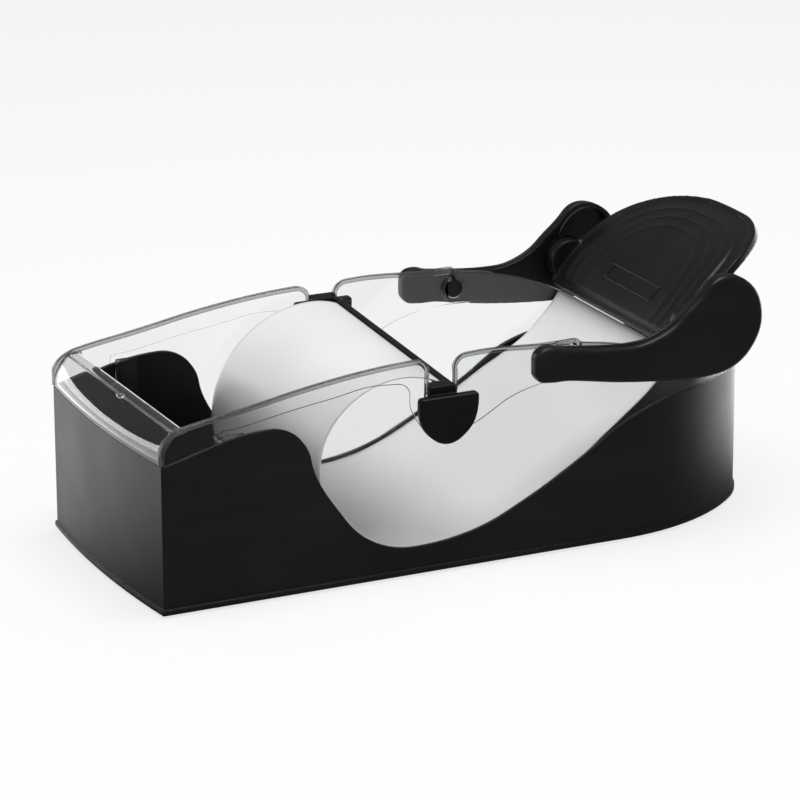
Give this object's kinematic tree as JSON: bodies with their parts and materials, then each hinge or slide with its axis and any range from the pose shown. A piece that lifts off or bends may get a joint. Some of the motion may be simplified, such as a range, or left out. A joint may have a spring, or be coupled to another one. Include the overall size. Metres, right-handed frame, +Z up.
{
  "type": "sushi maker",
  "caption": "Table-top roller for sushi: black base with a trough and tray, clear lift-off hood, white foil sling on a lift-out crossbar, and a hinged lever with a paddle that rolls the foil.",
  "frame": {"origin": "middle of the footprint of the whole object, on the table", "axes": "+X from the front wall to the paddle's tip at the back, +Y to the left, +Z up"},
  "size_m": [0.2804, 0.127, 0.1136],
  "materials": {
    "black_plastic": "satin moulded black",
    "bed_black": "satin moulded black",
    "lever_black": "fine satin black",
    "pad_black": "soft touch black",
    "satin_black": "satin black",
    "rubber_black": "matt rubber",
    "clear_plastic": "clear polished acrylic",
    "white_foil": "satin white silicone-like foil"
  },
  "bodies": {
    "base": {"base_casing": "black_plastic", "inner_bed": "bed_black", "foot_front_right": "rubber_black", "foot_front_left": "rubber_black", "foot_rear_right": "rubber_black", "foot_rear_left": "rubber_black"},
    "hood": {"clear_wall_right": "clear_plastic", "clear_wall_left": "clear_plastic", "front_clear_bar": "clear_plastic", "rolling_foil": "white_foil"},
    "crossbar": {"crossbar_rod": "satin_black", "end_cap_right": "satin_black", "end_cap_left": "satin_black", "foil_front_bead": "white_foil"},
    "lever": {"arm_right": "lever_black", "arm_left": "lever_black", "pivot_pin_right": "satin_black", "pivot_pin_left": "satin_black", "paddle": "lever_black", "thumb_pad": "pad_black", "foil_clamp": "satin_black", "foil_rear_bead": "white_foil"}
  },
  "joints": [
    {"name": "hood_lift", "type": "slide", "parent": "base", "child": "hood", "axis": [0, 0, 1], "range_m": [0, 0.07]},
    {"name": "crossbar_lift", "type": "slide", "parent": "hood", "child": "crossbar", "axis": [0, 0, 1], "range_m": [0, 0.04], "deforming": ["rolling_foil"]},
    {"name": "lever_swing", "type": "hinge", "parent": "hood", "child": "lever", "pos_m": [0.03869, 0, 0.0775], "axis": [0, -1, 0], "range_deg": [0, 110], "deforming": ["rolling_foil"]}
  ]
}
